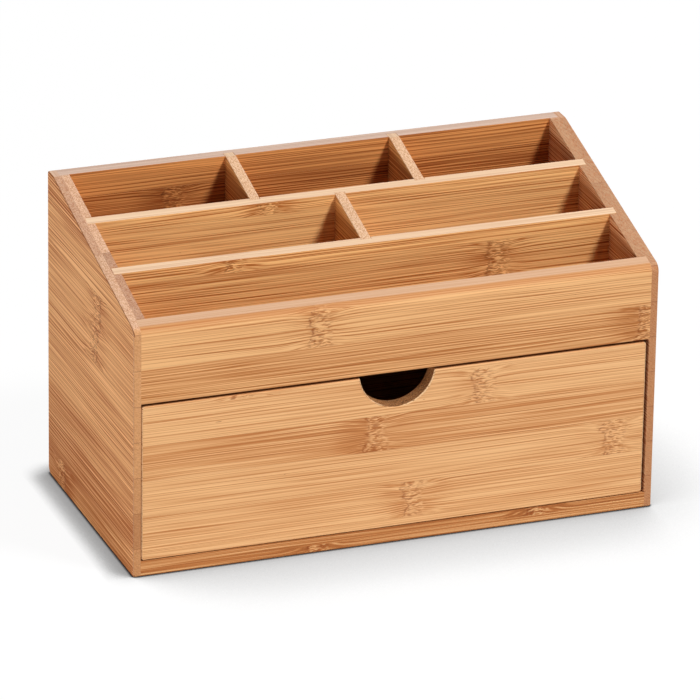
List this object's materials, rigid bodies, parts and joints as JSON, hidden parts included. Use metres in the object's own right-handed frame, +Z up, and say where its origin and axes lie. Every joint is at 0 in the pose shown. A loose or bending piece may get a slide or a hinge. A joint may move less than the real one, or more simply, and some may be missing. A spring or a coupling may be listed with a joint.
{
  "type": "desk organizer",
  "caption": "Bamboo desk organizer with a falling top, open bays in stepped rows, and a sliding drawer below with a half-round finger notch.",
  "frame": {"origin": "middle of the underside of the base, on the surface it stands on", "axes": "+X to the right along the front, +Y from the drawer front to the back, +Z up"},
  "size_m": [0.335, 0.166, 0.2],
  "materials": {
    "case_bamboo": "satin",
    "divider_bamboo": "satin",
    "drawer_bamboo": "satin",
    "panel_bamboo": "matte"
  },
  "bodies": {
    "case": {"left_side": "case_bamboo", "right_side": "case_bamboo", "base_panel": "case_bamboo", "back_panel": "case_bamboo", "front_rail": "case_bamboo", "shelf": "case_bamboo", "rear_long_divider": "divider_bamboo", "front_long_divider": "divider_bamboo", "rear_left_cross_divider": "divider_bamboo", "rear_right_cross_divider": "divider_bamboo", "middle_cross_divider": "divider_bamboo"},
    "drawer": {"drawer_front": "drawer_bamboo", "drawer_left_side": "drawer_bamboo", "drawer_right_side": "drawer_bamboo", "drawer_back": "drawer_bamboo", "drawer_bottom_panel": "panel_bamboo"}
  },
  "joints": [
    {"name": "drawer_slide", "type": "slide", "parent": "case", "child": "drawer", "axis": [0, -1, 0], "range_m": [0, 0.11]}
  ]
}
